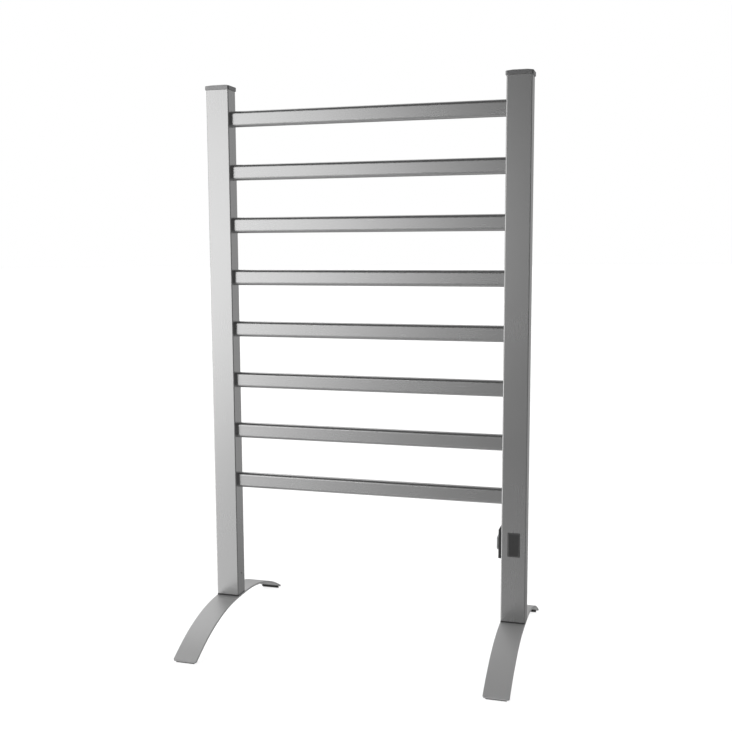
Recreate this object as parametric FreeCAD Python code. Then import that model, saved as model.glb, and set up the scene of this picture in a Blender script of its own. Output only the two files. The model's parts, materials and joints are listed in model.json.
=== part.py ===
import FreeCAD, Part
import math
import os

# Free-standing electric towel warmer: two box-section posts on arched feet
# carry eight flat heated rungs. A rocker switch under a splash boot sits on the
# inner face of the right-hand post.
#
# Frame: +X to the right, +Y to the back, +Z up. The origin is on the floor,
# midway between the posts and below their centre line.
# All sizes are in millimetres.

Vector = FreeCAD.Vector
X_AXIS = Vector(1, 0, 0)
Y_AXIS = Vector(0, 1, 0)
Z_AXIS = Vector(0, 0, 1)
LEFT, RIGHT = -1, 1
FRONT, BACK = -1, 1

# Posts
POST_SPACING = 483.0
POST_WIDTH = 38.6
POST_DEPTH = 28.4
POST_WALL = 1.6
POST_CORNER = 1.5
POST_BOTTOM = 54.0
POST_TOP = 889.5

# Rungs
RUNG_COUNT = 8
RUNG_PITCH = 84.65
TOP_RUNG_Z = 843.85
RUNG_HEIGHT = 25.4
RUNG_DEPTH = 11.0
RUNG_WALL = 1.2
RUNG_CORNER = 5.0
RUNG_INSERTION = 14.0
SLOT_CLEARANCE = 0.15

# Arched feet: level under the post, then an arc, then a straight tail to each tip.
# The back arm is a little longer and flatter than the front arm.
FOOT_WIDTH = 38.8
FOOT_THICKNESS = 3.2
FOOT_TOP = 51.5
SEAT_HALF = 16.0
ARCH_RADIUS = {FRONT: 312.5, BACK: 329.0}
TAIL_RUN = 20.0
FOOT_REACH = {FRONT: 182.5, BACK: 187.0}
TIP_CORNER = 3.0
FOOT_EDGE = 0.6
PAD_WIDTH = 30.0
PAD_LENGTH = 10.0
PAD_THICKNESS = 3.2
PAD_END_GAP = 0.5

# Post fittings
CAP_OVERHANG = 1.5
CAP_RIM = 6.2
CAP_SLOPE_RISE = 2.4
CAP_SLOPE_RUN = 8.0
CAP_CORNER = 2.5
CAP_EDGE = 0.6
SKIRT_DEPTH = 12.0
PLUG_SPIGOT = 3.0
FIT_GAP = 0.1
INSERT_TOP = 100.0
SET_SCREW_Z = 88.0

# Fasteners
FOOT_SCREW_RADIUS = 3.0
FOOT_SCREW_LENGTH = 28.0
FOOT_SCREW_PITCH = 15.0
WASHER_RADIUS = 6.0
WASHER_THICKNESS = 1.2
SET_SCREW_RADIUS = 2.0
EARTH_SCREW_RADIUS = 2.0
SMALL_SCREW_RADIUS = 1.5
RUNG_SCREW_RADIUS = 1.5
RUNG_SCREW_BITE = 2.9
THREAD_GAP = 0.05

# Heating circuit
CABLE_RADIUS = 1.6
CABLE_BEND = 10.0
CABLE_INSET = 9.0
SUPPLY_Y = 8.9
RETURN_Y = -7.0
LEAD_RADIUS = 1.1
LEAD_BEND = 3.5
SLEEVE_RADIUS = 2.4

# Switch, on the inner face of the right-hand post
SWITCH_Z = 177.0
BEZEL_BOTTOM = 154.0
BEZEL_FACE_TOP = 199.5
BEZEL_TOP = 206.5
BEZEL_WIDTH = 24.0
BEZEL_PROUD = 4.7
BEZEL_PLATE = 1.2
BOOT_HALF_HEIGHT = 10.4
BOOT_HALF_WIDTH = 7.4
BOOT_PROUD = 3.1
BOOT_WALL = 0.8
BODY_HALF_HEIGHT = 10.2
BODY_HALF_WIDTH = 7.0
BODY_DEPTH = 16.3
FLANGE_HALF_HEIGHT = 12.5
FLANGE_HALF_WIDTH = 9.4
ROCKER_TILT = 9.0
BLADE_TILT = 8.0

# Plain sticker on the right-hand post
LABEL_WIDTH = 19.2
LABEL_HEIGHT = 38.5
LABEL_THICKNESS = 0.3

# Cord inlet
INLET_Z = 147.0
INLET_BORE = 3.5
INLET_SLEEVE = 4.6
INLET_FLANGE = 5.6

# Wiring behind the switch
POLE_PITCH = 7.6
BLOCK_BOTTOM = 112.0
BLOCK_TOP = 128.0
BRACKET_WIDTH = 24.6
BRACKET_SCREW_Y = 9.4
LEAD_TOP = 216.0

# Derived places
POST_X = POST_SPACING / 2
INNER_FACE = POST_X - POST_WIDTH / 2
OUTER_FACE = POST_X + POST_WIDTH / 2
RUNG_BACK = RUNG_DEPTH / 2
RUNG_SCREW_LENGTH = POST_DEPTH / 2 - RUNG_BACK + RUNG_SCREW_BITE
RUNG_END = INNER_FACE + RUNG_INSERTION
RUNG_CENTRES = [TOP_RUNG_Z - RUNG_PITCH * i for i in range(RUNG_COUNT)]
RUNG_SCREW_X = INNER_FACE + POST_WALL + 4.0
TAIL_ANGLE = {}
for end in (FRONT, BACK):
    TAIL_ANGLE[end] = math.asin((FOOT_REACH[end] - TAIL_RUN - SEAT_HALF) / ARCH_RADIUS[end])
BEZEL_FACE = INNER_FACE - BEZEL_PROUD
BOOT_FLANGE_FRONT = BEZEL_FACE + BEZEL_PLATE
BODY_FRONT = BOOT_FLANGE_FRONT + 1.0
BODY_BACK = BODY_FRONT + BODY_DEPTH
PIVOT = Vector(BODY_FRONT + 2.0, 0, SWITCH_Z)
BLADE_PIVOT = Vector(PIVOT.x + 6.2, 0, SWITCH_Z)
CABLE_X = OUTER_FACE - CABLE_INSET
TERMINAL_X = OUTER_FACE - 9.5

parts = {}


# ---------------------------------------------------------------- shapes

def span(centre, width):
    """The low and high ends of a width about a centre."""
    return (centre - width / 2, centre + width / 2)


def block(x_range, y_range, z_range):
    """A box between three pairs of limits."""
    corner = Vector(x_range[0], y_range[0], z_range[0])
    return Part.makeBox(
        x_range[1] - x_range[0], y_range[1] - y_range[0], z_range[1] - z_range[0], corner)


def edges_along(shape, axis):
    """The straight edges of a shape that run along an axis."""
    found = []
    for edge in shape.Edges:
        if isinstance(edge.Curve, Part.Line):
            if abs(edge.tangentAt(edge.FirstParameter).dot(axis)) > 0.999:
                found.append(edge)
    return found


def rounded_block(x_range, y_range, z_range, radius, axis):
    """A box whose four edges along one axis are rounded."""
    shape = block(x_range, y_range, z_range)
    return shape.makeFillet(radius, edges_along(shape, axis))


def rod(start, direction, length, radius):
    """A round bar."""
    return Part.makeCylinder(radius, length, start, direction)


def hexagon(across_flats, depth):
    """A hexagonal prism that hangs down from the XY plane."""
    corner_radius = across_flats / 2 / math.cos(math.pi / 6)
    corners = []
    for i in range(7):
        angle = math.pi / 3 * i
        corners.append(Vector(corner_radius * math.cos(angle), corner_radius * math.sin(angle), 0))
    return Part.Face(Part.makePolygon(corners)).extrude(Vector(0, 0, -depth))


def cross(length, width, depth):
    """A cross-head recess of two slots that hangs down from the XY plane."""
    first = block(span(0, length), span(0, width), (-depth, 0))
    second = block(span(0, width), span(0, length), (-depth, 0))
    return first.fuse(second)


def screw(seat, head_direction, head, shank, recess):
    """A pan-head screw: head is (radius, height) and shank is (radius, length)."""
    head_radius, head_height = head
    shank_radius, shank_length = shank
    dome = Part.makeCylinder(head_radius, head_height)
    dome = dome.makeFillet(head_height * 0.45, [dome.Edges[0]])
    body = dome.fuse(rod(Vector(0, 0, 0), -Z_AXIS, shank_length, shank_radius))
    recess.translate(Vector(0, 0, head_height + 0.01))
    body = body.cut(recess)
    body.Placement = FreeCAD.Placement(seat, FreeCAD.Rotation(Z_AXIS, head_direction))
    return body


def rounded_wire(points, bend_radius):
    """Straight runs between points, joined by tangent arcs."""
    edges = []
    run_start = points[0]
    for before, corner, after in zip(points, points[1:], points[2:]):
        back = (before - corner).normalize()
        ahead = (after - corner).normalize()
        half_turn = (math.pi - back.getAngle(ahead)) / 2
        setback = bend_radius * math.tan(half_turn)
        arc_start = corner + back * setback
        arc_end = corner + ahead * setback
        bisector = (back + ahead).normalize()
        arc_middle = corner + bisector * (bend_radius / math.cos(half_turn) - bend_radius)
        edges.append(Part.LineSegment(run_start, arc_start).toShape())
        edges.append(Part.Arc(arc_start, arc_middle, arc_end).toShape())
        run_start = arc_end
    edges.append(Part.LineSegment(run_start, points[-1]).toShape())
    return Part.Wire(edges)


def wire_tube(points, bend_radius, radius):
    """A cable or lead of round section along rounded runs."""
    path = rounded_wire(points, bend_radius)
    section = Part.Wire(Part.makeCircle(radius, points[0], points[1] - points[0]))
    return path.makePipeShell([section], True, True)


# ---------------------------------------------------------------- frame

def rung_block(x_range, centre_z, grow):
    """The rung's outer section over an X range, grown all round."""
    return rounded_block(
        x_range,
        span(0, RUNG_DEPTH + 2 * grow),
        span(centre_z, RUNG_HEIGHT + 2 * grow),
        RUNG_CORNER + grow, X_AXIS)


def rung_screw_holes(side):
    """Holes through the post's back wall and the rungs' back walls."""
    start_y = RUNG_BACK - RUNG_SCREW_BITE
    radius = RUNG_SCREW_RADIUS + THREAD_GAP
    holes = []
    for centre_z in RUNG_CENTRES:
        start = Vector(side * RUNG_SCREW_X, start_y, centre_z)
        holes.append(rod(start, Y_AXIS, RUNG_SCREW_LENGTH + 1, radius))
    return holes


def make_post(side):
    """A box-section tube with a slot for each rung and its fastener holes."""
    centre_x = side * POST_X
    heights = (POST_BOTTOM, POST_TOP)
    tube = rounded_block(
        span(centre_x, POST_WIDTH), span(0, POST_DEPTH), heights, POST_CORNER, Z_AXIS)
    bore = rounded_block(
        span(centre_x, POST_WIDTH - 2 * POST_WALL), span(0, POST_DEPTH - 2 * POST_WALL),
        heights, POST_CORNER / 3, Z_AXIS)
    slot_limits = sorted((side * (INNER_FACE - 1), side * (INNER_FACE + POST_WALL + 1)))
    cuts = [bore]
    for centre_z in RUNG_CENTRES:
        cuts.append(rung_block(slot_limits, centre_z, SLOT_CLEARANCE))
    cuts.extend(rung_screw_holes(side))
    hole_start = Vector(side * (INNER_FACE - 1), 0, SET_SCREW_Z)
    cuts.append(rod(hole_start, X_AXIS * side, POST_WALL + 2, SET_SCREW_RADIUS + THREAD_GAP))
    if side == RIGHT:
        cuts.append(rounded_block(
            (INNER_FACE - 1, INNER_FACE + POST_WALL + 1),
            span(0, 2 * BODY_HALF_WIDTH + 0.4),
            span(SWITCH_Z, 2 * BODY_HALF_HEIGHT + 0.4), 0.4, X_AXIS))
        for z in bezel_screw_heights():
            screw_start = Vector(INNER_FACE - 1, 0, z)
            cuts.append(rod(screw_start, X_AXIS, POST_WALL + 2, SMALL_SCREW_RADIUS + THREAD_GAP))
        inlet_start = Vector(INNER_FACE - 1, 0, INLET_Z)
        cuts.append(rod(inlet_start, X_AXIS, POST_WALL + 2, INLET_SLEEVE))
    return tube.cut(cuts)


def make_rung(centre_z):
    """A flat hollow rung whose ends stand inside the posts."""
    outer = rung_block((-RUNG_END, RUNG_END), centre_z, 0)
    bore = rung_block((-RUNG_END, RUNG_END), centre_z, -RUNG_WALL)
    return outer.cut([bore] + rung_screw_holes(LEFT) + rung_screw_holes(RIGHT))


def make_rung_bushes(side):
    """Silicone end plugs that carry the heating cable out of each rung."""
    bushes = []
    for centre_z in RUNG_CENTRES:
        plug_limits = sorted((side * (RUNG_END - 4.5), side * RUNG_END))
        plug = rung_block(plug_limits, centre_z, -RUNG_WALL - FIT_GAP)
        flange_limits = sorted((side * RUNG_END, side * (RUNG_END + 1.5)))
        flange = rung_block(flange_limits, centre_z, -0.4)
        hole_start = Vector(side * (RUNG_END - 5), 0, centre_z)
        hole = rod(hole_start, X_AXIS * side, 8, CABLE_RADIUS + FIT_GAP)
        bushes.append(plug.fuse(flange).cut(hole))
    return Part.makeCompound(bushes)


def make_rung_screws(side):
    """Screws through the post's back wall that pull each rung against the back of its slot."""
    screws = []
    for centre_z in RUNG_CENTRES:
        seat = Vector(side * RUNG_SCREW_X, POST_DEPTH / 2, centre_z)
        recess = cross(3.0, 0.7, 0.9)
        screws.append(screw(
            seat, Y_AXIS, (2.8, 1.6), (RUNG_SCREW_RADIUS, RUNG_SCREW_LENGTH), recess))
    return Part.makeCompound(screws)


def make_top_cap(side):
    """A moulded cap: straight rim, sloped shoulders and a hollow skirt."""
    centre_x = side * POST_X
    width = POST_WIDTH + 2 * CAP_OVERHANG
    depth = POST_DEPTH + 2 * CAP_OVERHANG
    rim_top = POST_TOP + CAP_RIM
    rim = rounded_block(
        span(centre_x, width), span(0, depth), (POST_TOP, rim_top), CAP_CORNER, Z_AXIS)
    crown = rounded_block(
        span(centre_x, width - 2 * CAP_SLOPE_RUN), span(0, depth - 2 * CAP_SLOPE_RUN),
        (rim_top, rim_top + CAP_SLOPE_RISE), CAP_CORNER, Z_AXIS)
    lower = highest_face(rim).OuterWire
    upper = highest_face(crown).OuterWire
    cap = rim.fuse(Part.makeLoft([lower, upper], True, True)).removeSplitter()
    soft_edges = []
    for edge in cap.Edges:
        if edge.BoundBox.ZMax - edge.BoundBox.ZMin < 0.01:
            soft_edges.append(edge)
    cap = cap.makeFillet(CAP_EDGE, soft_edges)
    skirt_width = POST_WIDTH - 2 * POST_WALL - 2 * FIT_GAP
    skirt_depth = POST_DEPTH - 2 * POST_WALL - 2 * FIT_GAP
    skirt_heights = (POST_TOP - SKIRT_DEPTH, POST_TOP)
    skirt = rounded_block(
        span(centre_x, skirt_width), span(0, skirt_depth), skirt_heights, 1.0, Z_AXIS)
    hollow = block(
        span(centre_x, skirt_width - 2 * POST_WALL), span(0, skirt_depth - 2 * POST_WALL),
        (POST_TOP - SKIRT_DEPTH, POST_TOP + 2))
    return cap.fuse(skirt).cut(hollow)


def highest_face(shape):
    """The face whose centre is highest."""
    return max(shape.Faces, key=lambda face: face.CenterOfMass.z)


def foot_screw_places(side):
    """Centres of a foot's two screws, at floor level."""
    places = []
    for end in (FRONT, BACK):
        places.append(Vector(side * POST_X, end * FOOT_SCREW_PITCH / 2, 0))
    return places


def foot_screw_holes(side, radius):
    """Upright holes for a foot's screws."""
    return [rod(place, Z_AXIS, INSERT_TOP - 10, radius) for place in foot_screw_places(side)]


def make_post_plug(side):
    """A dark plastic spacer between the post and its foot."""
    centre_x = side * POST_X
    flange = rounded_block(
        span(centre_x, POST_WIDTH), span(0, POST_DEPTH), (FOOT_TOP, POST_BOTTOM),
        POST_CORNER, Z_AXIS)
    spigot = rounded_block(
        span(centre_x, POST_WIDTH - 2 * POST_WALL - 2 * FIT_GAP),
        span(0, POST_DEPTH - 2 * POST_WALL - 2 * FIT_GAP),
        (POST_BOTTOM, POST_BOTTOM + PLUG_SPIGOT), 1.0, Z_AXIS)
    return flange.fuse(spigot).cut(foot_screw_holes(side, FOOT_SCREW_RADIUS + 0.3))


def make_foot_insert(side):
    """The metal block inside the post that the foot screws pull on."""
    centre_x = side * POST_X
    insert = rounded_block(
        span(centre_x, POST_WIDTH - 2 * POST_WALL - 2 * FIT_GAP),
        span(0, POST_DEPTH - 2 * POST_WALL - 2 * FIT_GAP),
        (POST_BOTTOM + PLUG_SPIGOT, INSERT_TOP), 1.0, Z_AXIS)
    cuts = foot_screw_holes(side, FOOT_SCREW_RADIUS + THREAD_GAP)
    set_hole = Vector(side * (INNER_FACE + POST_WALL), 0, SET_SCREW_Z)
    cuts.append(rod(set_hole, X_AXIS * side, 6, SET_SCREW_RADIUS + THREAD_GAP))
    if side == RIGHT:
        cuts.append(rod(earth_place(INSERT_TOP - 6), Z_AXIS, 7, EARTH_SCREW_RADIUS + THREAD_GAP))
        for place in bracket_screw_places(INSERT_TOP - 6):
            cuts.append(rod(place, Z_AXIS, 7, SMALL_SCREW_RADIUS + THREAD_GAP))
    return insert.cut(cuts)


def make_set_screws():
    """Socket set screws through the inner faces into the inserts."""
    screws = []
    for side in (LEFT, RIGHT):
        start = Vector(side * (INNER_FACE + 0.2), 0, SET_SCREW_Z)
        stud = rod(start, X_AXIS * side, 6.0, SET_SCREW_RADIUS)
        socket = hexagon(2.2, 1.8)
        socket.Placement = FreeCAD.Placement(start, FreeCAD.Rotation(Z_AXIS, X_AXIS * -side))
        screws.append(stud.cut(socket))
    return Part.makeCompound(screws)


def make_foot_screws():
    """Socket-head screws that hold the feet, driven from below."""
    seat_z = FOOT_TOP - FOOT_THICKNESS - WASHER_THICKNESS
    screws = []
    for side in (LEFT, RIGHT):
        for place in foot_screw_places(side):
            seat = place + Vector(0, 0, seat_z)
            screws.append(screw(
                seat, -Z_AXIS, (5.0, 3.6), (FOOT_SCREW_RADIUS, FOOT_SCREW_LENGTH),
                hexagon(4.0, 2.2)))
    return Part.makeCompound(screws)


def make_foot_washers():
    """Washers under the heads of the foot screws."""
    low = FOOT_TOP - FOOT_THICKNESS - WASHER_THICKNESS
    washers = []
    for side in (LEFT, RIGHT):
        for place in foot_screw_places(side):
            start = place + Vector(0, 0, low)
            ring = rod(start, Z_AXIS, WASHER_THICKNESS, WASHER_RADIUS)
            washers.append(ring.cut(rod(start, Z_AXIS, WASHER_THICKNESS, FOOT_SCREW_RADIUS + 0.2)))
    return Part.makeCompound(washers)


# ---------------------------------------------------------------- feet

def arch_point(end, angle, inset):
    """A point below the foot's top surface, at an angle along one arm's arc."""
    radius = ARCH_RADIUS[end] - inset
    centre_z = FOOT_TOP - ARCH_RADIUS[end]
    return Vector(
        0, end * (SEAT_HALF + radius * math.sin(angle)), centre_z + radius * math.cos(angle))


def tail_point(end, before_tip, inset):
    """A point below the top surface of one arm's straight tail."""
    angle = TAIL_ANGLE[end]
    along = TAIL_RUN / math.cos(angle) - before_tip
    run = Vector(0, end * along * math.cos(angle), -along * math.sin(angle))
    return arch_point(end, angle, inset) + run


def arch_arc(end, first, last, inset):
    """An arc of one arm between two angles."""
    return Part.Arc(
        arch_point(end, first, inset), arch_point(end, (first + last) / 2, inset),
        arch_point(end, last, inset)).toShape()


def straight(first, second):
    """A straight edge."""
    return Part.LineSegment(first, second).toShape()


def foot_side(inset):
    """The edges along one surface of the foot, from the front tip to the back tip."""
    front_angle, back_angle = TAIL_ANGLE[FRONT], TAIL_ANGLE[BACK]
    return [
        straight(tail_point(FRONT, 0, inset), arch_point(FRONT, front_angle, inset)),
        arch_arc(FRONT, front_angle, 0, inset),
        straight(arch_point(FRONT, 0, inset), arch_point(BACK, 0, inset)),
        arch_arc(BACK, 0, back_angle, inset),
        straight(arch_point(BACK, back_angle, inset), tail_point(BACK, 0, inset))]


def make_foot(side):
    """A flat bar, level under the post and arched down to both tips."""
    tips = []
    for end in (FRONT, BACK):
        tips.append(straight(tail_point(end, 0, 0), tail_point(end, 0, FOOT_THICKNESS)))
    outline = Part.Wire(Part.__sortEdges__(foot_side(0) + foot_side(FOOT_THICKNESS) + tips))
    foot = Part.Face(outline).extrude(X_AXIS * FOOT_WIDTH)
    foot.translate(Vector(side * POST_X - FOOT_WIDTH / 2, 0, 0))
    corner_edges = []
    for edge in foot.Edges:
        at_tip = abs(edge.CenterOfMass.y) > FOOT_REACH[FRONT] - TAIL_RUN
        if at_tip and abs(edge.Length - FOOT_THICKNESS) < 0.01:
            corner_edges.append(edge)
    foot = foot.makeFillet(TIP_CORNER, corner_edges)
    foot = foot.makeFillet(FOOT_EDGE, foot_rim_edges(foot))
    return foot.cut(foot_screw_holes(side, FOOT_SCREW_RADIUS + 0.3))


def foot_rim_edges(foot):
    """The edges round the foot's top and bottom surfaces, which face up or down."""
    broad_faces = []
    for face in foot.Faces:
        normal = face.normalAt(*face.Surface.parameter(face.CenterOfMass))
        if abs(normal.z) > 0.7 and abs(normal.x) < 0.01:
            broad_faces.append(face)
    rim = []
    for edge in foot.Edges:
        sharing = [face for face in broad_faces if any(edge.isSame(side) for side in face.Edges)]
        if len(sharing) == 1:
            rim.append(edge)
    return rim


def make_pad(side, end):
    """A rubber strip under a foot tip, worn flat where it stands."""
    pad_bottom = FOOT_THICKNESS + PAD_THICKNESS
    corners = [
        tail_point(end, PAD_END_GAP, FOOT_THICKNESS),
        tail_point(end, PAD_END_GAP, pad_bottom),
        tail_point(end, PAD_LENGTH, pad_bottom),
        tail_point(end, PAD_LENGTH, FOOT_THICKNESS),
        tail_point(end, PAD_END_GAP, FOOT_THICKNESS)]
    pad = Part.Face(Part.makePolygon(corners)).extrude(X_AXIS * PAD_WIDTH)
    pad.translate(Vector(side * POST_X - PAD_WIDTH / 2, 0, 0))
    below_floor = block(span(0, 4 * POST_X), span(0, 3 * FOOT_REACH[BACK]), (-PAD_LENGTH, 0))
    return pad.cut(below_floor)


# ---------------------------------------------------------------- heating

def cable_route():
    """The cable snakes up through all the rungs and comes back down the right-hand post."""
    near_side = RIGHT
    route = [Vector(CABLE_X, SUPPLY_Y, LEAD_TOP + 6), Vector(CABLE_X, SUPPLY_Y, LEAD_TOP + 14)]
    for centre_z in reversed(RUNG_CENTRES):
        route.append(Vector(near_side * CABLE_X, 0, centre_z))
        route.append(Vector(-near_side * CABLE_X, 0, centre_z))
        near_side = -near_side
    route.append(Vector(CABLE_X, 0, TOP_RUNG_Z - 25))
    route.append(Vector(CABLE_X, RETURN_Y, TOP_RUNG_Z - 50))
    route.append(Vector(CABLE_X, RETURN_Y, LEAD_TOP + 22))
    return route


def make_crimp_sleeves():
    """Crimped joints between the heating cable and its cold leads."""
    neutral = rod(Vector(CABLE_X, SUPPLY_Y, LEAD_TOP - 5), Z_AXIS, 16, SLEEVE_RADIUS)
    neutral = neutral.cut(rod(Vector(CABLE_X, SUPPLY_Y, LEAD_TOP - 5), Z_AXIS, 11, LEAD_RADIUS))
    neutral = neutral.cut(rod(Vector(CABLE_X, SUPPLY_Y, LEAD_TOP + 6), Z_AXIS, 6, CABLE_RADIUS))
    live = rod(Vector(CABLE_X, RETURN_Y, LEAD_TOP + 19), Z_AXIS, 14, SLEEVE_RADIUS)
    live = live.cut(rod(Vector(CABLE_X, RETURN_Y, LEAD_TOP + 22), Z_AXIS, 12, CABLE_RADIUS))
    return Part.makeCompound([neutral, live])


def make_thermal_fuse():
    """An axial thermal cut-out in line with the live end of the cable."""
    capsule = rod(Vector(CABLE_X, RETURN_Y, LEAD_TOP + 7), Z_AXIS, 12, 3.0)
    return capsule.makeFillet(0.8, [capsule.Edges[0], capsule.Edges[2]])


# ---------------------------------------------------------------- switch

def bezel_screw_heights():
    """Heights of the two screws that hold the switch bezel."""
    return (BEZEL_BOTTOM + 5.5, BEZEL_FACE_TOP - 5.0)


def make_bezel():
    """The black switch surround: square below, sloped off at the top."""
    corners = [
        Vector(INNER_FACE, 0, BEZEL_BOTTOM),
        Vector(BEZEL_FACE, 0, BEZEL_BOTTOM),
        Vector(BEZEL_FACE, 0, BEZEL_FACE_TOP),
        Vector(INNER_FACE, 0, BEZEL_TOP),
        Vector(INNER_FACE, 0, BEZEL_BOTTOM)]
    bezel = Part.Face(Part.makePolygon(corners)).extrude(Y_AXIS * BEZEL_WIDTH)
    bezel.translate(Vector(0, -BEZEL_WIDTH / 2, 0))
    front_edges = []
    for edge in bezel.Edges:
        if edge.BoundBox.XMin < INNER_FACE - 0.01 and edge.BoundBox.ZMin > BEZEL_BOTTOM - 0.01:
            front_edges.append(edge)
    bezel = bezel.makeFillet(1.0, front_edges)
    opening = rounded_block(
        (BEZEL_FACE - 1, INNER_FACE), span(0, 2 * BOOT_HALF_WIDTH + 0.2),
        span(SWITCH_Z, 2 * BOOT_HALF_HEIGHT + 0.2), 2.5, X_AXIS)
    recess = block(
        (BOOT_FLANGE_FRONT, INNER_FACE), span(0, 2 * FLANGE_HALF_WIDTH + 0.2),
        span(SWITCH_Z, 2 * FLANGE_HALF_HEIGHT + 0.2))
    cuts = [opening, recess]
    for z in bezel_screw_heights():
        cuts.append(Part.makeCone(
            2.8, SMALL_SCREW_RADIUS, 1.7, Vector(BEZEL_FACE, 0, z), X_AXIS))
        hole_radius = SMALL_SCREW_RADIUS + THREAD_GAP
        cuts.append(rod(Vector(BEZEL_FACE, 0, z), X_AXIS, BEZEL_PROUD, hole_radius))
    return bezel.cut(cuts)


def make_bezel_screws():
    """Countersunk screws, flush with the bezel's face."""
    screws = []
    for z in bezel_screw_heights():
        head_start = Vector(BEZEL_FACE + 0.05, 0, z)
        head = Part.makeCone(2.7, SMALL_SCREW_RADIUS, 1.65, head_start, X_AXIS)
        shank = rod(Vector(BEZEL_FACE + 1.5, 0, z), X_AXIS, 8, SMALL_SCREW_RADIUS)
        recess = cross(3.0, 0.7, 0.9)
        recess.Placement = FreeCAD.Placement(
            Vector(BEZEL_FACE, 0, z), FreeCAD.Rotation(Z_AXIS, -X_AXIS))
        screws.append(head.fuse(shank).cut(recess))
    return Part.makeCompound(screws)


def make_boot():
    """The clear splash boot over the rocker, held by its flange."""
    face = BEZEL_FACE - BOOT_PROUD
    dome = rounded_block(
        (face, BODY_FRONT), span(0, 2 * BOOT_HALF_WIDTH), span(SWITCH_Z, 2 * BOOT_HALF_HEIGHT),
        2.4, X_AXIS)
    face_edges = [edge for edge in dome.Edges if edge.BoundBox.XMax < face + 0.01]
    dome = dome.makeFillet(1.2, face_edges)
    flange = block(
        (BOOT_FLANGE_FRONT, BODY_FRONT), span(0, 2 * FLANGE_HALF_WIDTH),
        span(SWITCH_Z, 2 * FLANGE_HALF_HEIGHT))
    hollow = rounded_block(
        (face + BOOT_WALL, BODY_FRONT), span(0, 2 * (BOOT_HALF_WIDTH - BOOT_WALL)),
        span(SWITCH_Z, 2 * (BOOT_HALF_HEIGHT - BOOT_WALL)), 1.2, X_AXIS)
    return dome.fuse(flange).cut(hollow)


def make_switch_body():
    """The moulded switch case: flange, side walls with pivot holes, and a stop rib."""
    flange = block(
        (BODY_FRONT, BODY_FRONT + 1.2), span(0, 2 * FLANGE_HALF_WIDTH),
        span(SWITCH_Z, 2 * FLANGE_HALF_HEIGHT))
    case = block(
        (BODY_FRONT, BODY_BACK), span(0, 2 * BODY_HALF_WIDTH), span(SWITCH_Z, 2 * BODY_HALF_HEIGHT))
    cavity = block((BODY_FRONT, BODY_BACK - 1.2), span(0, 11.2), span(SWITCH_Z, 18.6))
    pivot_hole = rod(PIVOT - Y_AXIS * 10, Y_AXIS, 20, 1.25)
    slots = []
    for z in terminal_heights():
        slots.append(block((BODY_BACK - 2, BODY_BACK + 1), span(0, 5.0), span(z, 1.0)))
    stop = block(
        (BLADE_PIVOT.x + 1.6, BODY_BACK - 1), span(0, 4.0), span(SWITCH_Z + 5.6, 1.6))
    return flange.fuse(case).cut([cavity, pivot_hole] + slots).fuse(stop)


def tilt_about(shape, pivot, degrees):
    """Move a shape drawn about the origin to its pivot, tilted about Y."""
    shape.Placement = FreeCAD.Placement(pivot, FreeCAD.Rotation(Y_AXIS, degrees))
    return shape


def make_rocker():
    """The rocker with its pivot studs, drawn at rest with its top half proud."""
    profile = [
        (-4.81, 8.6), (-3.45, 0.0), (-4.81, -8.6), (-1.8, -8.2),
        (1.5, -6.0), (1.5, 6.0), (-1.8, 8.2), (-4.81, 8.6)]
    corners = [Vector(x, 0, z) for x, z in profile]
    rocker = Part.Face(Part.makePolygon(corners)).extrude(Y_AXIS * 10.4)
    rocker.translate(Y_AXIS * -5.2)
    rocker = rocker.makeFillet(0.5, edges_along(rocker, Y_AXIS)[:4])
    studs = rod(Y_AXIS * -6.6, Y_AXIS, 13.2, 1.2)
    boss = rod(Vector(1.0, 0, 0), X_AXIS, 3.0, 2.0)
    bore = rod(Vector(-1.5, 0, 0), X_AXIS, 6.0, 1.3)
    rocker = rocker.fuse([studs, boss]).cut(bore)
    return tilt_about(rocker, PIVOT, -ROCKER_TILT)


def make_rocker_plunger():
    """The round-nosed plunger that drives the contact blade."""
    stem = rod(Vector(1.5, 0, 0), X_AXIS, 2.9, 1.2)
    nose = Part.makeSphere(1.2, Vector(4.4, 0, 0))
    return tilt_about(stem.fuse(nose), PIVOT, -ROCKER_TILT)


def make_rocker_spring():
    """The coil spring behind the plunger."""
    coil_radius = 0.95
    helix = Part.makeHelix(0.7, 2.5, coil_radius)
    section = Part.Wire(Part.makeCircle(0.18, Vector(coil_radius, 0, 0), Y_AXIS))
    coil = Part.Wire(helix).makePipeShell([section], True, True)
    coil.rotate(Vector(0, 0, 0), Y_AXIS, 90)
    coil.translate(Vector(-1.25, 0, 0))
    holder = Part.makeCompound([coil])
    return tilt_about(holder, PIVOT, -ROCKER_TILT)


def make_contact_blade():
    """The see-saw contact blade with its rolled pivot and its silvered contact."""
    width = 4.6
    blade = block(span(0, 0.5), span(0, width), span(0, 13.0))
    pivot_roll = rod(Y_AXIS * (-width / 2), Y_AXIS, width, 0.4)
    contact = rod(Vector(0.2, 0, -5.6), X_AXIS, 0.75, 1.2)
    return tilt_about(blade.fuse([pivot_roll, contact]), BLADE_PIVOT, BLADE_TILT)


def terminal_heights():
    """Heights of the common and the output blade terminals."""
    return (SWITCH_Z, SWITCH_Z - 7.0)


def make_common_terminal():
    """The supply terminal, whose front edge is the blade's fulcrum."""
    return block((BLADE_PIVOT.x + 0.6, BODY_BACK + 7.5), span(0, 4.8), span(SWITCH_Z, 0.8))


def make_output_terminal():
    """The switched terminal with its fixed contact."""
    z = terminal_heights()[1]
    front = BLADE_PIVOT.x + 2.7
    tongue = block((front, BODY_BACK + 7.5), span(0, 4.8), span(z, 0.8))
    shelf = block((front, front + 0.8), span(0, 4.8), (z - 0.4, z + 3.4))
    contact = rod(Vector(front - 0.6, 0, SWITCH_Z - 5.6), X_AXIS, 0.8, 1.2)
    return tongue.fuse([shelf, contact])


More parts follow.
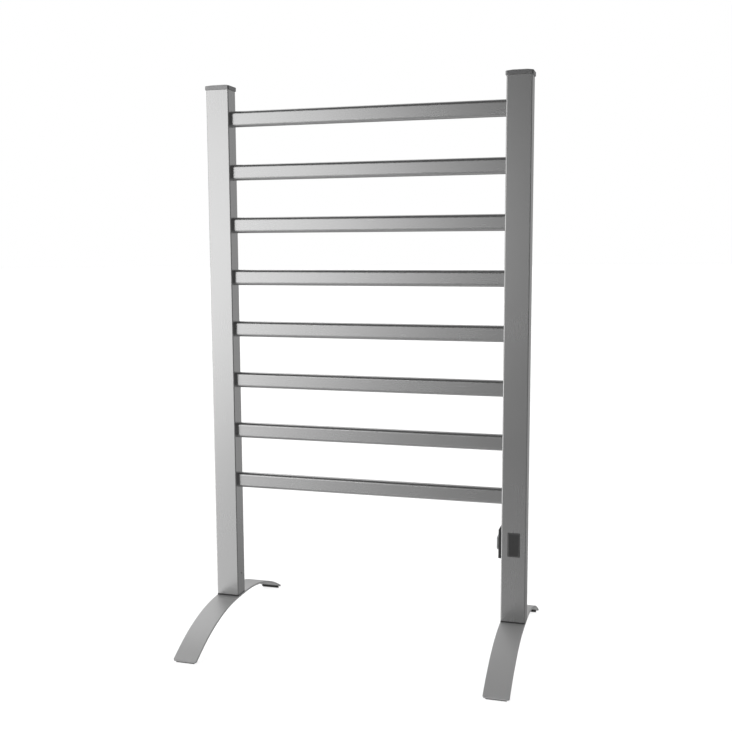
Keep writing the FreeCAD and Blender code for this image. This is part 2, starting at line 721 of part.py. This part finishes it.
def make_spade_connectors():
    """Insulated push-on connectors on the two blade terminals."""
    connectors = []
    for z in terminal_heights():
        sleeve = rounded_block(
            (BODY_BACK + 2.5, BODY_BACK + 11), span(0, 6.2), span(z, 3.8), 1.0, X_AXIS)
        pocket = block((BODY_BACK + 2, BODY_BACK + 7.5), span(0, 4.9), span(z, 0.9))
        connectors.append(sleeve.cut(pocket))
    return Part.makeCompound(connectors)


# ---------------------------------------------------------------- wiring

def make_live_lead():
    """From the terminal block's live pole to the switch's common terminal."""
    supply_z = terminal_heights()[0]
    return wire_tube([
        Vector(TERMINAL_X, -POLE_PITCH, BLOCK_TOP),
        Vector(TERMINAL_X, -POLE_PITCH, BLOCK_TOP + 22),
        Vector(TERMINAL_X + 2.5, -POLE_PITCH, supply_z - 12),
        Vector(TERMINAL_X + 2.5, 0, supply_z),
        Vector(BODY_BACK + 11, 0, supply_z)], LEAD_BEND, LEAD_RADIUS)


def make_output_lead():
    """From the switch's output terminal to the thermal fuse."""
    output_z = terminal_heights()[1]
    return wire_tube([
        Vector(BODY_BACK + 11, 0, output_z),
        Vector(TERMINAL_X + 2, 0, output_z),
        Vector(TERMINAL_X + 2.5, 5.5, output_z + 13),
        Vector(TERMINAL_X + 2.5, 3.0, output_z + 28),
        Vector(CABLE_X, RETURN_Y, LEAD_TOP - 6),
        Vector(CABLE_X, RETURN_Y, LEAD_TOP + 7)], LEAD_BEND, LEAD_RADIUS)


def make_neutral_lead():
    """From the terminal block's neutral pole to the heating cable."""
    return wire_tube([
        Vector(TERMINAL_X, POLE_PITCH, BLOCK_TOP),
        Vector(TERMINAL_X, POLE_PITCH, BLOCK_TOP + 14),
        Vector(CABLE_X, SUPPLY_Y, BLOCK_TOP + 32),
        Vector(CABLE_X, SUPPLY_Y, LEAD_TOP + 6)], LEAD_BEND, LEAD_RADIUS)


def earth_place(z):
    """The earth screw's axis on the right-hand insert."""
    return Vector(INNER_FACE + 10.5, 0, z)


def make_earth_lead():
    """From the terminal block's earth pole to the earth lug."""
    lug_x = INNER_FACE + 16
    return wire_tube([
        Vector(TERMINAL_X, 0, BLOCK_TOP),
        Vector(TERMINAL_X, 0, BLOCK_TOP + 8),
        Vector(lug_x, 0, BLOCK_TOP + 8),
        Vector(lug_x, 0, INSERT_TOP + 7)], LEAD_BEND, LEAD_RADIUS)


def make_earth_lug():
    """A ring terminal with an upright barrel, on the insert's top."""
    ring = rod(earth_place(INSERT_TOP), Z_AXIS, 0.8, 4.2)
    tongue = block(
        (INNER_FACE + 10.5, INNER_FACE + 17.5), span(0, 3.6),
        (INSERT_TOP, INSERT_TOP + 0.8))
    barrel = rod(Vector(INNER_FACE + 16, 0, INSERT_TOP), Z_AXIS, 7, 1.7)
    hole = rod(earth_place(INSERT_TOP), Z_AXIS, 1, EARTH_SCREW_RADIUS + THREAD_GAP)
    return ring.fuse([tongue, barrel]).cut(hole)


def make_earth_screw():
    """The screw that bonds the frame to earth."""
    seat = earth_place(INSERT_TOP + 0.8)
    return screw(seat, Z_AXIS, (3.6, 2.2), (EARTH_SCREW_RADIUS, 6.0), cross(4.0, 0.8, 1.2))


def bracket_screw_places(z):
    """Axes of the two bracket screws on the right-hand insert."""
    return [Vector(TERMINAL_X - 4, end * BRACKET_SCREW_Y, z) for end in (FRONT, BACK)]


def make_terminal_bracket():
    """The angle bracket that carries the terminal block."""
    back = OUTER_FACE - POST_WALL - 0.2
    base = block((TERMINAL_X - 7.5, back), span(0, BRACKET_WIDTH), (INSERT_TOP, INSERT_TOP + 1.0))
    upright = block((back - 1.0, back), span(0, BRACKET_WIDTH), (INSERT_TOP, BLOCK_TOP))
    holes = [rod(place, Z_AXIS, 3, 1.6) for place in bracket_screw_places(INSERT_TOP)]
    return base.fuse(upright).cut(holes)


def make_bracket_screws():
    """Screws through the bracket into the insert."""
    screws = []
    for place in bracket_screw_places(INSERT_TOP + 1.0):
        recess = cross(3.0, 0.7, 0.9)
        screws.append(screw(place, Z_AXIS, (2.8, 1.8), (SMALL_SCREW_RADIUS, 5.0), recess))
    return Part.makeCompound(screws)


def pole_places():
    """The Y places of the three poles: live, earth and neutral."""
    return [POLE_PITCH * i for i in (-1, 0, 1)]


def terminal_screw_places():
    """Axis ends of the six clamping screws, on the block's inner side."""
    places = []
    for y in pole_places():
        for z in (BLOCK_BOTTOM + 4, BLOCK_TOP - 4):
            places.append(Vector(TERMINAL_X - 6, y, z))
    return places


def make_terminal_block():
    """A three-pole terminal strip with wire and screw holes."""
    front = TERMINAL_X - 6
    back = OUTER_FACE - POST_WALL - 1.2
    body = rounded_block(
        (front, back), span(0, 3 * POLE_PITCH), (BLOCK_BOTTOM, BLOCK_TOP), 1.0, Z_AXIS)
    cuts = []
    for y in pole_places():
        cuts.append(rod(Vector(TERMINAL_X, y, BLOCK_BOTTOM), Z_AXIS, BLOCK_TOP - BLOCK_BOTTOM, 1.9))
    for place in terminal_screw_places():
        cuts.append(rod(place, X_AXIS, 6, 1.7))
    return body.cut(cuts)


def make_terminal_screws():
    """Slotted clamping screws in the terminal block."""
    screws = []
    for place in terminal_screw_places():
        stud = rod(place + X_AXIS * 0.8, X_AXIS, 3.0, 1.6)
        slot = block((place.x, place.x + 1.5), span(place.y, 0.6), span(place.z, 4.0))
        screws.append(stud.cut(slot))
    return Part.makeCompound(screws)


def make_cord_inlet():
    """A rubber grommet in the inner face, where the mains cord goes in."""
    flange = rod(Vector(INNER_FACE - 1.2, 0, INLET_Z), X_AXIS, 1.2, INLET_FLANGE)
    flange = flange.makeFillet(0.5, [edge for edge in flange.Edges
                                     if edge.BoundBox.XMax < INNER_FACE - 1.1])
    sleeve = rod(Vector(INNER_FACE, 0, INLET_Z), X_AXIS, POST_WALL, INLET_SLEEVE)
    collar = rod(Vector(INNER_FACE + POST_WALL, 0, INLET_Z), X_AXIS, 2.0, INLET_FLANGE - 0.2)
    bore = rod(Vector(INNER_FACE - 2, 0, INLET_Z), X_AXIS, 8, INLET_BORE)
    return flange.fuse([sleeve, collar]).cut(bore)


def make_blank_label():
    """A plain dark sticker on the right-hand post's front face."""
    front = -POST_DEPTH / 2
    return rounded_block(
        span(POST_X + 0.4, LABEL_WIDTH), (front - LABEL_THICKNESS, front),
        span(SWITCH_Z + 0.7, LABEL_HEIGHT), 1.0, Y_AXIS)


# ---------------------------------------------------------------- assembly

SIDE_NAMES = {LEFT: "left", RIGHT: "right"}
END_NAMES = {FRONT: "front", BACK: "back"}

for side, side_name in SIDE_NAMES.items():
    parts[side_name + "_post"] = make_post(side)
    parts[side_name + "_top_cap"] = make_top_cap(side)
    parts[side_name + "_post_plug"] = make_post_plug(side)
    parts[side_name + "_foot_insert"] = make_foot_insert(side)
    parts[side_name + "_foot"] = make_foot(side)
    parts[side_name + "_rung_bushes"] = make_rung_bushes(side)
    parts[side_name + "_rung_screws"] = make_rung_screws(side)
    for end, end_name in END_NAMES.items():
        parts[side_name + "_" + end_name + "_pad"] = make_pad(side, end)

for number, centre_z in enumerate(RUNG_CENTRES, start=1):
    parts["rung_%d" % number] = make_rung(centre_z)

parts["insert_set_screws"] = make_set_screws()
parts["foot_screws"] = make_foot_screws()
parts["foot_washers"] = make_foot_washers()

parts["heating_cable"] = wire_tube(cable_route(), CABLE_BEND, CABLE_RADIUS)
parts["cable_crimp_sleeves"] = make_crimp_sleeves()
parts["thermal_fuse"] = make_thermal_fuse()

parts["switch_bezel"] = make_bezel()
parts["bezel_screws"] = make_bezel_screws()
parts["switch_boot"] = make_boot()
parts["switch_body"] = make_switch_body()
parts["rocker"] = make_rocker()
parts["rocker_plunger"] = make_rocker_plunger()
parts["rocker_spring"] = make_rocker_spring()
parts["contact_blade"] = make_contact_blade()
parts["common_terminal"] = make_common_terminal()
parts["output_terminal"] = make_output_terminal()
parts["spade_connectors"] = make_spade_connectors()

parts["live_lead"] = make_live_lead()
parts["output_lead"] = make_output_lead()
parts["neutral_lead"] = make_neutral_lead()
parts["earth_lead"] = make_earth_lead()
parts["earth_lug"] = make_earth_lug()
parts["earth_screw"] = make_earth_screw()
parts["terminal_bracket"] = make_terminal_bracket()
parts["bracket_screws"] = make_bracket_screws()
parts["terminal_block"] = make_terminal_block()
parts["terminal_screws"] = make_terminal_screws()
parts["cord_inlet"] = make_cord_inlet()
parts["blank_label"] = make_blank_label()

os.makedirs("parts", exist_ok=True)
for name, shape in parts.items():
    shape.exportStep("parts/" + name + ".step")
    print("%-22s solids %2d  valid %s  volume %.1f" % (
        name, len(shape.Solids), shape.isValid(), shape.Volume))
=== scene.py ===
"""Looks of the towel warmer rack: camera, studio light, floor and surface materials."""
import json
import math

import bpy
from mathutils import Matrix, Vector


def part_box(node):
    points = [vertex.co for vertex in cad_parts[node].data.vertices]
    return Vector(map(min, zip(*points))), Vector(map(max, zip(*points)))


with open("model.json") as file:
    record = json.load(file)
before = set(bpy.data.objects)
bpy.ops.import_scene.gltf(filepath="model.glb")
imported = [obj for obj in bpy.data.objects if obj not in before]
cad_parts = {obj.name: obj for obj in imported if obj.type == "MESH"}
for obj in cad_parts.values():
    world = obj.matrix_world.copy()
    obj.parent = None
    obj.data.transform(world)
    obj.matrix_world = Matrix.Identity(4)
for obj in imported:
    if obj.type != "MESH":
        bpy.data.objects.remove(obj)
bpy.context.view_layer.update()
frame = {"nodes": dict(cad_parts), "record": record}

MM = 0.001

# Camera. It stands in front of the rack and to its right, and looks slightly left and down.
CAMERA_AT = Vector((0.4427, -1.5362, 0.6411))
CAMERA_YAW = math.radians(16.0596)
CAMERA_DROP = math.radians(6.8371)
CAMERA_ROLL = math.radians(-0.2744)
LENS_MM = 49.48
SENSOR_MM = 36.0
CLIP_NEAR = 0.05
CLIP_FAR = 200.0

# Studio dome: the brightness of its zones, and of the backdrop that the camera sees
BACKDROP_WHITE = 1.0
DOME_FRONT = 0.11
DOME_BACK = 0.38
DOME_OVERHEAD = 0.10
DOME_LOW = 0.19
DOME_LOW_LEFT = 0.32
PANEL_STRENGTH = 0.68

# Softboxes on the dome: azimuth in degrees from the front (-Y) towards the left (-X),
# elevation, roll, half width and half height and feather as tangents, strength
SOFTBOXES = {
    "key": (45, 0, -32, 0.552, 0.342, 0.05, 1.22),
    "key_spill": (60, -25, 0, 0.85, 0.33, 0.08, 0.40),
    "level_glow": (15, -1, 0, 0.6, 0.12, 0.06, 0.10),
    "low_glow": (15, -22, 0, 0.6, 0.10, 0.05, 0.15),
    "rung_glow": (16, -3, 0, 0.10, 0.12, 0.07, 0.13),
    "floor_glow": (0, -88, 0, 0.45, 0.45, 0.15, 0.30),
}

FLOOR_RADIUS = 30.0
FLOOR_GREY = 0.94
SUN_STRENGTH = 2.9
SUN_ANGLE = math.radians(50)
SUN_TURN = (math.radians(-18), math.radians(-12), 0.0)

# Sizes of the surface detail, in features per metre, and the height of its relief
BRUSHED_GRAIN = 2600.0
BRUSHED_CLOUD = 14.0
ETCHED_RELIEF = 0.0004 * MM
DRAWN_RELIEF = 0.0002 * MM
CAST_GRAIN = 900.0
CAST_CLOUD = 120.0
MOULDED_GRAIN = 1800.0
MOULDED_CLOUD = 60.0
MOULDED_RELIEF = 0.02 * MM
FINE_RELIEF = 0.01 * MM
BOOT_GRAIN = 700.0
FILM_GRAIN = 500.0
FLOOR_MOTTLE = 3.0

# Pale frame line on the label
FRAME_INSET = 1.3 * MM
FRAME_CORE = 0.2 * MM
FRAME_FADE = 0.3 * MM


# ---------------------------------------------------------------- node helpers

def add(tree, kind, inputs=None, **settings):
    """Add a shader node, set its properties, and set or link its input sockets."""
    node = tree.nodes.new("ShaderNode" + kind)
    for name, value in settings.items():
        setattr(node, name, value)
    for key, value in (inputs or {}).items():
        if isinstance(value, bpy.types.NodeSocket):
            tree.links.new(value, node.inputs[key])
        else:
            node.inputs[key].default_value = value
    return node


def calc(tree, operation, *values):
    """The result socket of a Math node."""
    return add(tree, "Math", dict(enumerate(values)), operation=operation).outputs[0]


def remap(tree, value, low, high, to_low, to_high, smooth=False):
    """The result socket of a Map Range node."""
    inputs = {
        "Value": value, "From Min": low, "From Max": high, "To Min": to_low, "To Max": to_high}
    kind = "SMOOTHSTEP" if smooth else "LINEAR"
    return add(tree, "MapRange", inputs, interpolation_type=kind).outputs["Result"]


def ramp(tree, value, start, end):
    """0 at start and 1 at end, smooth between."""
    return remap(tree, value, start, end, 0.0, 1.0, smooth=True)


def product(tree, *values):
    """The product of two or more sockets."""
    total = values[0]
    for value in values[1:]:
        total = calc(tree, "MULTIPLY", total, value)
    return total


def dot(tree, vector, constant):
    """The dot product of a vector socket and a constant vector."""
    inputs = {0: vector, 1: tuple(constant)}
    return add(tree, "VectorMath", inputs, operation="DOT_PRODUCT").outputs["Value"]


def noise(tree, coordinates, scale, detail=2.0, stretch=(1.0, 1.0, 1.0)):
    """A noise value from 0 to 1. scale is in features per metre."""
    mapped = add(tree, "Mapping", {"Vector": coordinates, "Scale": stretch}).outputs[0]
    inputs = {"Vector": mapped, "Scale": scale, "Detail": detail}
    return add(tree, "TexNoise", inputs).outputs["Fac"]


def new_material(name):
    """A material with an empty tree, its Principled shader and the piece's own coordinates."""
    material = bpy.data.materials.new(name)
    material.use_nodes = True
    tree = material.node_tree
    tree.nodes.clear()
    shader = add(tree, "BsdfPrincipled")
    output = add(tree, "OutputMaterial")
    tree.links.new(shader.outputs[0], output.inputs["Surface"])
    coordinates = add(tree, "TexCoord").outputs["Object"]
    return material, tree, shader, coordinates


def rgba(colour):
    """A colour as a socket takes it. A socket stays as it is."""
    return colour if isinstance(colour, bpy.types.NodeSocket) else (*colour, 1.0)


def blend(tree, factor, first, second):
    """A colour between two colours."""
    inputs = {0: factor, 6: rgba(first), 7: rgba(second)}
    return add(tree, "Mix", inputs, data_type="RGBA").outputs[2]


def mix_values(tree, factor, first, second):
    """first where factor is 0, second where it is 1."""
    inputs = {0: factor, 2: first, 3: second}
    return add(tree, "Mix", inputs, data_type="FLOAT").outputs[0]


def bump(tree, height, relief, normal=None):
    """A bumped normal. relief is in metres, and normal is an earlier bump to add to."""
    inputs = {"Height": height, "Distance": relief, "Strength": 1.0}
    if normal is not None:
        inputs["Normal"] = normal
    return add(tree, "Bump", inputs).outputs[0]


# ---------------------------------------------------------------- studio

def make_camera():
    """The camera, level with the upper rungs and a little to the right."""
    ahead = Vector((
        -math.sin(CAMERA_YAW) * math.cos(CAMERA_DROP),
        math.cos(CAMERA_YAW) * math.cos(CAMERA_DROP),
        -math.sin(CAMERA_DROP)))
    level_right = Vector((math.cos(CAMERA_YAW), math.sin(CAMERA_YAW), 0))
    level_up = level_right.cross(ahead)
    right = level_right * math.cos(CAMERA_ROLL) + level_up * math.sin(CAMERA_ROLL)
    up = level_up * math.cos(CAMERA_ROLL) - level_right * math.sin(CAMERA_ROLL)
    data = bpy.data.cameras.new("camera")
    data.lens = LENS_MM
    data.sensor_width = SENSOR_MM
    data.clip_start = CLIP_NEAR
    data.clip_end = CLIP_FAR
    camera = bpy.data.objects.new("camera", data)
    turn = Matrix((right, up, -ahead)).transposed()
    camera.matrix_world = Matrix.Translation(CAMERA_AT) @ turn.to_4x4()
    bpy.context.scene.collection.objects.link(camera)
    bpy.context.scene.camera = camera


def softbox(tree, direction, azimuth, elevation, roll, half_width, half_height, feather):
    """The mask of a feathered rectangle on the dome. Its half sizes and feather are tangents."""
    turn, lift = math.radians(azimuth), math.radians(elevation)
    forward = Vector((
        -math.sin(turn) * math.cos(lift), -math.cos(turn) * math.cos(lift), math.sin(lift)))
    level = Vector((-math.cos(turn), math.sin(turn), 0))
    upward = level.cross(forward)
    tilt = math.radians(roll)
    side = level * math.cos(tilt) + upward * math.sin(tilt)
    top = upward * math.cos(tilt) - level * math.sin(tilt)
    along = dot(tree, direction, forward)
    depth = calc(tree, "MAXIMUM", along, 0.001)
    mask = remap(tree, along, 0.0, 0.1, 0.0, 1.0)
    for axis, half in ((side, half_width), (top, half_height)):
        offset = calc(tree, "ABSOLUTE", calc(tree, "DIVIDE", dot(tree, direction, axis), depth))
        mask = product(tree, mask, ramp(tree, offset, half + feather, half - feather))
    return mask


def dome_level(tree, direction):
    """The brightness of the dome in a direction."""
    height = dot(tree, direction, (0, 0, 1))
    to_back = dot(tree, direction, (0, 1, 0))
    to_left = dot(tree, direction, (-1, 0, 0))
    walls = remap(tree, to_back, -0.7, 0.7, DOME_FRONT, DOME_BACK, smooth=True)
    overhead = product(tree, ramp(tree, height, 0.12, 0.42), ramp(tree, to_back, 0.1, -0.15))
    level = mix_values(tree, overhead, walls, DOME_OVERHEAD)
    below = remap(tree, to_left, 0.0, 0.5, DOME_LOW, DOME_LOW_LEFT, smooth=True)
    level = mix_values(tree, ramp(tree, height, -0.22, -0.40), level, below)
    panel = product(
        tree, ramp(tree, to_left, 0.12, 0.40), ramp(tree, to_back, -0.05, 0.15),
        ramp(tree, height, 0.2, 0.4))
    level = calc(tree, "MULTIPLY_ADD", panel, PANEL_STRENGTH, level)
    for azimuth, elevation, roll, half_width, half_height, feather, strength in SOFTBOXES.values():
        mask = softbox(tree, direction, azimuth, elevation, roll, half_width, half_height, feather)
        level = calc(tree, "MULTIPLY_ADD", mask, strength, level)
    return level


def make_studio():
    """A dome that lights the rack like a small studio, and that the camera sees as white."""
    world = bpy.data.worlds.new("studio")
    bpy.context.scene.world = world
    world.use_nodes = True
    tree = world.node_tree
    tree.nodes.clear()
    direction = add(tree, "TexCoord").outputs["Generated"]
    lit = add(tree, "Background", {"Color": dome_level(tree, direction)})
    seen = add(tree, "Background", {"Color": (1, 1, 1, 1), "Strength": BACKDROP_WHITE})
    camera_ray = add(tree, "LightPath").outputs["Is Camera Ray"]
    both = add(tree, "MixShader", {0: camera_ray, 1: lit.outputs[0], 2: seen.outputs[0]})
    output = add(tree, "OutputWorld")
    tree.links.new(both.outputs[0], output.inputs["Surface"])


def make_sun():
    """A wide, soft overhead light on the floor and the plastics. Metal doesn't mirror it."""
    data = bpy.data.lights.new("overhead", "SUN")
    data.energy = SUN_STRENGTH
    data.angle = SUN_ANGLE
    data.use_shadow = False
    sun = bpy.data.objects.new("overhead", data)
    sun.rotation_euler = SUN_TURN
    sun.visible_glossy = False
    bpy.context.scene.collection.objects.link(sun)


def make_floor():
    """A plain pale floor, a large disc at the feet's level."""
    material, tree, shader, coordinates = new_material("pale_floor")
    mottle = noise(tree, coordinates, FLOOR_MOTTLE)
    grey = Vector((FLOOR_GREY,) * 3)
    tree.links.new(blend(tree, mottle, grey * 0.99, grey), shader.inputs["Base Color"])
    shader.inputs["Roughness"].default_value = 0.9
    shader.inputs["Specular IOR Level"].default_value = 0.0
    bpy.ops.mesh.primitive_circle_add(vertices=96, radius=FLOOR_RADIUS, fill_type="NGON")
    floor = bpy.context.object
    floor.name = "floor"
    floor.data.materials.append(material)
    floor.visible_glossy = False
    floor.visible_shadow = False


# ---------------------------------------------------------------- metals

def extruded_aluminium(name, grey, stretch, roughness, metallic):
    """Satin anodised aluminium with fine drawing lines along its length."""
    material, tree, shader, coordinates = new_material(name)
    lines = noise(tree, coordinates, 1.0, 3.0, stretch)
    cloud = noise(tree, coordinates, BRUSHED_CLOUD, 3.0)
    grain = noise(tree, coordinates, BRUSHED_GRAIN, 1.0)
    tone = calc(tree, "MULTIPLY_ADD", lines, 0.35, calc(tree, "MULTIPLY", cloud, 0.65))
    colour = blend(tree, tone, [grey * 0.985] * 3, [grey * 1.015] * 3)
    tree.links.new(colour, shader.inputs["Base Color"])
    rough = remap(tree, tone, 0.25, 0.75, roughness - 0.01, roughness + 0.01)
    tree.links.new(rough, shader.inputs["Roughness"])
    shader.inputs["Metallic"].default_value = metallic
    etched = bump(tree, grain, ETCHED_RELIEF)
    drawn = bump(tree, lines, DRAWN_RELIEF, normal=etched)
    tree.links.new(drawn, shader.inputs["Normal"])
    return material


def cast_metal(name, colour, roughness, relief):
    """Metal with an even grain: cast, machined or plated."""
    material, tree, shader, coordinates = new_material(name)
    grain = noise(tree, coordinates, CAST_GRAIN, 4.0)
    cloud = noise(tree, coordinates, CAST_CLOUD, 2.0)
    light = [min(1.0, c * 1.08) for c in colour]
    dark = [c * 0.88 for c in colour]
    tree.links.new(blend(tree, cloud, dark, light), shader.inputs["Base Color"])
    rough = remap(tree, grain, 0.3, 0.7, roughness - 0.06, roughness + 0.06)
    tree.links.new(rough, shader.inputs["Roughness"])
    shader.inputs["Metallic"].default_value = 1.0
    tree.links.new(bump(tree, grain, relief), shader.inputs["Normal"])
    return material


# ---------------------------------------------------------------- plastics and rubber

def moulded_plastic(
        name, colour, roughness, grain_relief=MOULDED_RELIEF, grain_scale=MOULDED_GRAIN):
    """Moulded plastic with a fine spark texture."""
    material, tree, shader, coordinates = new_material(name)
    grain = noise(tree, coordinates, grain_scale, 2.0)
    cloud = noise(tree, coordinates, MOULDED_CLOUD, 2.0)
    dark = [c * 0.9 for c in colour]
    light = [c * 1.1 for c in colour]
    tree.links.new(blend(tree, cloud, dark, light), shader.inputs["Base Color"])
    rough = remap(tree, grain, 0.3, 0.7, roughness - 0.05, roughness + 0.05)
    tree.links.new(rough, shader.inputs["Roughness"])
    tree.links.new(bump(tree, grain, grain_relief), shader.inputs["Normal"])
    return material


def clear_boot(name):
    """Soft clear PVC, slightly milky, over the rocker."""
    material = moulded_plastic(name, (0.42, 0.43, 0.43), 0.32, FINE_RELIEF, BOOT_GRAIN)
    shader = next(n for n in material.node_tree.nodes if n.type == "BSDF_PRINCIPLED")
    shader.inputs["Transmission Weight"].default_value = 0.45
    shader.inputs["IOR"].default_value = 1.5
    return material


def label_film(name):
    """A plain dark film with a thin pale frame line near its edge."""
    material, tree, shader, coordinates = new_material(name)
    low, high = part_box("blank_label")
    middle, half = (low + high) / 2, (high - low) / 2
    place = add(tree, "SeparateXYZ", {"Vector": coordinates})
    inset = None
    for axis, index in (("X", 0), ("Z", 2)):
        offset = calc(tree, "ABSOLUTE", calc(tree, "SUBTRACT", place.outputs[axis], middle[index]))
        margin = calc(tree, "SUBTRACT", half[index], offset)
        inset = margin if inset is None else calc(tree, "MINIMUM", inset, margin)
    from_line = calc(tree, "ABSOLUTE", calc(tree, "SUBTRACT", inset, FRAME_INSET))
    line = remap(tree, from_line, FRAME_CORE, FRAME_FADE, 1.0, 0.0)
    grain = noise(tree, coordinates, FILM_GRAIN, 2.0)
    film = blend(tree, grain, (0.035,) * 3, (0.05,) * 3)
    framed = blend(tree, line, film, (0.16,) * 3)
    tree.links.new(framed, shader.inputs["Base Color"])
    tree.links.new(remap(tree, grain, 0.3, 0.7, 0.36, 0.46), shader.inputs["Roughness"])
    tree.links.new(bump(tree, grain, FINE_RELIEF), shader.inputs["Normal"])
    return material


def make_materials():
    """One finished material for each of the record's slots."""
    # grey, stretch of the drawing lines, roughness, metallic
    extruded = {
        "post_aluminium": (0.60, (700.0, 700.0, 2.0), 0.27, 1.0),
        "rung_aluminium": (0.60, (2.0, 700.0, 700.0), 0.27, 1.0),
        "foot_aluminium": (0.60, (700.0, 3.0, 3.0), 0.5, 0.82),
    }
    # colour, roughness, relief; the caps are plastic under a metallic lacquer
    metals = {
        "cast_aluminium": ((0.55, 0.55, 0.56), 0.45, 0.05 * MM),
        "cap_plastic": ((0.34, 0.34, 0.342), 0.34, 0.002 * MM),
        "zinc_steel": ((0.62, 0.62, 0.61), 0.28, FINE_RELIEF),
        "brass": ((0.78, 0.6, 0.3), 0.25, FINE_RELIEF),
        "fuse_case": ((0.72, 0.7, 0.66), 0.35, FINE_RELIEF),
    }
    # colour, roughness
    plastics = {
        "plug_plastic": ((0.08, 0.08, 0.082), 0.5),
        "black_plastic": ((0.04, 0.04, 0.041), 0.42),
        "rocker_plastic": ((0.03, 0.03, 0.032), 0.2),
        "terminal_plastic": ((0.78, 0.76, 0.7), 0.45),
        "rubber": ((0.022, 0.022, 0.022), 0.75),
        "silicone": ((0.72, 0.7, 0.66), 0.5),
        "sleeve_rubber": ((0.05, 0.05, 0.05), 0.55),
        "cable_silicone": ((0.62, 0.14, 0.09), 0.5),
        "live_insulation": ((0.3, 0.13, 0.06), 0.4),
        "neutral_insulation": ((0.06, 0.17, 0.5), 0.4),
        "earth_insulation": ((0.25, 0.5, 0.08), 0.4),
    }
    made = {
        "clear_boot": clear_boot("clear_boot_look"),
        "label_film": label_film("label_film_look"),
    }
    for slot, (grey, stretch, roughness, metallic) in extruded.items():
        made[slot] = extruded_aluminium(slot + "_look", grey, stretch, roughness, metallic)
    for slot, (colour, roughness, relief) in metals.items():
        made[slot] = cast_metal(slot + "_look", colour, roughness, relief)
    for slot, (colour, roughness) in plastics.items():
        made[slot] = moulded_plastic(slot + "_look", colour, roughness)
    return made


def dress_nodes(materials):
    """Give every CAD node the finished material of its slot."""
    for part in frame["record"]["subparts"]:
        node = frame["nodes"][part["node"]]
        for slot in node.material_slots:
            slot.material = materials[part["material_slot"]]


make_camera()
make_studio()
make_sun()
make_floor()
dress_nodes(make_materials())
bpy.context.scene.view_settings.view_transform = "Standard"
